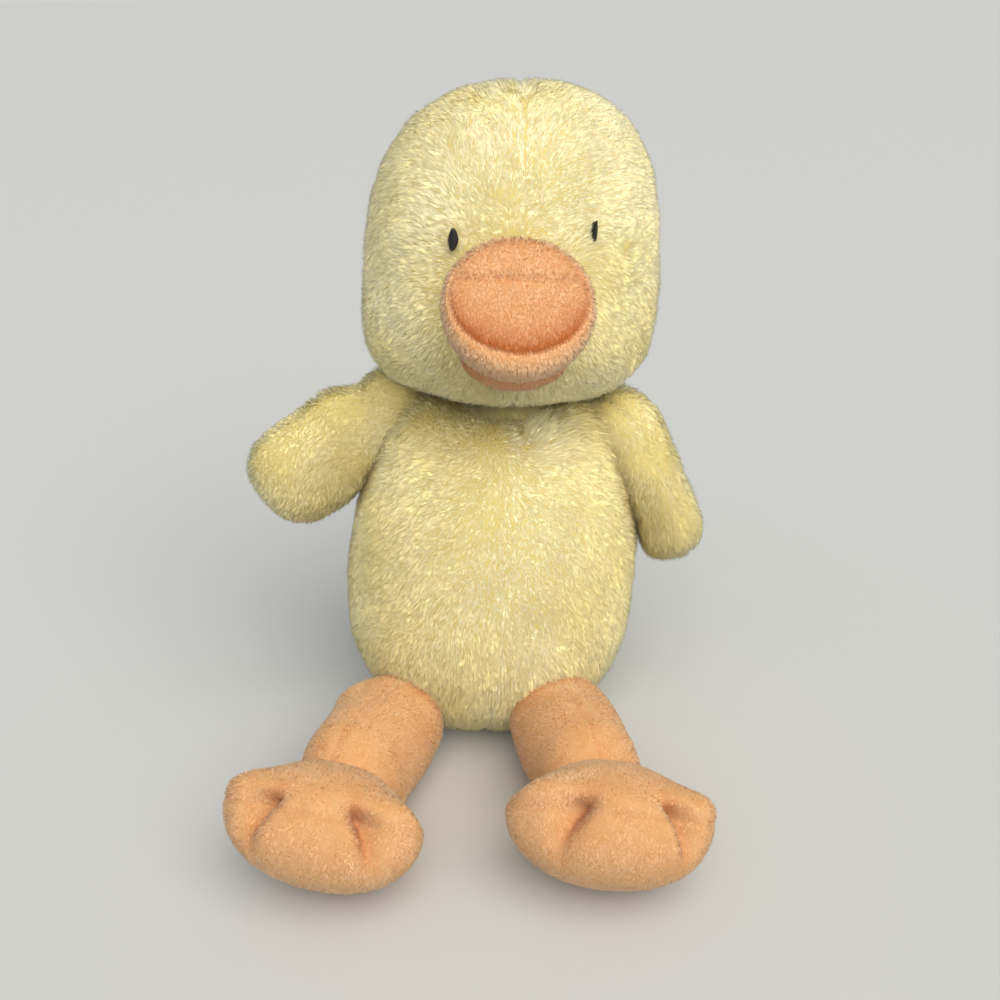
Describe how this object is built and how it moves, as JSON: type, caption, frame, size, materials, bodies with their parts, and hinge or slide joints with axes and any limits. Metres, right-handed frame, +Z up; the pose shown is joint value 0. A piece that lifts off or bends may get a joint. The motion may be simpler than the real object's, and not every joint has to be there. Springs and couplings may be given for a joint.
{
  "type": "seated plush duck",
  "caption": "Seated plush duck toy with an upright domed head, a padded oval bill, stitched eyes, paddle wings and webbed feet held toes up.",
  "frame": {"origin": "On the floor, under the middle of the duck's box at rest", "axes": "+Z up, -Y the way the duck faces, +X the duck's own left"},
  "size_m": [0.1672, 0.1816, 0.2273],
  "materials": {
    "yellow_plush": "polyester plush with a 4 to 6 mm pile, pale yellow, matt, soft",
    "peach_velour": "short-pile polyester velour, peach, matt",
    "fibre_fill": "loose polyester fibre filling, white",
    "satin_stitch_thread": "satin-stitched rayon thread, near black, slight shine"
  },
  "bodies": {
    "torso": {"body_front_right_panel": "yellow_plush", "body_front_left_panel": "yellow_plush", "body_back_panel": "yellow_plush", "body_stuffing": "fibre_fill", "tail": "yellow_plush"},
    "neck": {"neck_roll": "yellow_plush"},
    "head": {"head_right_panel": "yellow_plush", "head_left_panel": "yellow_plush", "head_stuffing": "fibre_fill", "eye_right": "satin_stitch_thread", "eye_left": "satin_stitch_thread", "bill_top_panel": "peach_velour", "bill_underside_panel": "peach_velour", "bill_stuffing": "fibre_fill", "bill_lower_lip": "peach_velour"},
    "wing_right": {"wing_right_front_panel": "yellow_plush", "wing_right_back_panel": "yellow_plush", "wing_right_stuffing": "fibre_fill"},
    "wing_left": {"wing_left_front_panel": "yellow_plush", "wing_left_back_panel": "yellow_plush", "wing_left_stuffing": "fibre_fill"},
    "leg_right": {"leg_right_panel": "peach_velour", "leg_right_stuffing": "fibre_fill"},
    "leg_left": {"leg_left_panel": "peach_velour", "leg_left_stuffing": "fibre_fill"},
    "foot_right": {"foot_right_upper_panel": "peach_velour", "foot_right_sole_panel": "peach_velour", "foot_right_stuffing": "fibre_fill"},
    "foot_left": {"foot_left_upper_panel": "peach_velour", "foot_left_sole_panel": "peach_velour", "foot_left_stuffing": "fibre_fill"}
  },
  "joints": [
    {"name": "neck_turn", "type": "hinge", "parent": "torso", "child": "neck", "pos_m": [0.0094, 0.03515, 0.10858], "axis": [0.1035, 0.1392, 0.9848], "range_deg": [-35, 35], "stiffness_Nm_per_rad": 0.4},
    {"name": "neck_nod", "type": "hinge", "parent": "neck", "child": "head", "pos_m": [0.0094, 0.03515, 0.10858], "axis": [1, 0, 0], "range_deg": [-12, 12], "stiffness_Nm_per_rad": 0.6},
    {"name": "wing_right_raise", "type": "hinge", "parent": "torso", "child": "wing_right", "pos_m": [-0.03134, 0.036, 0.11894], "axis": [-0.1045, 0.9945, 0], "range_deg": [0, 45], "stiffness_Nm_per_rad": 0.04},
    {"name": "hip_right_raise", "type": "hinge", "parent": "torso", "child": "leg_right", "pos_m": [-0.03201, -0.01419, 0.019], "axis": [-0.9336, 0.3584, 0], "range_deg": [-45, 15], "stiffness_Nm_per_rad": 0.15},
    {"name": "ankle_right_bend", "type": "hinge", "parent": "leg_right", "child": "foot_right", "pos_m": [-0.04151, -0.03893, 0.019], "axis": [-0.9848, 0.1736, 0], "range_deg": [-20, 30], "stiffness_Nm_per_rad": 0.06},
    {"name": "wing_left_raise", "type": "hinge", "parent": "torso", "child": "wing_left", "pos_m": [0.0514, 0.036, 0.11024], "axis": [-0.1045, -0.9945, 0], "range_deg": [0, 45], "stiffness_Nm_per_rad": 0.04},
    {"name": "hip_left_raise", "type": "hinge", "parent": "torso", "child": "leg_left", "pos_m": [0.02799, -0.01419, 0.019], "axis": [-0.9681, -0.2504, 0], "range_deg": [-45, 15], "stiffness_Nm_per_rad": 0.15},
    {"name": "ankle_left_bend", "type": "hinge", "parent": "leg_left", "child": "foot_left", "pos_m": [0.03462, -0.03985, 0.019], "axis": [-0.9877, 0.1564, 0], "range_deg": [-20, 30], "stiffness_Nm_per_rad": 0.06}
  ]
}
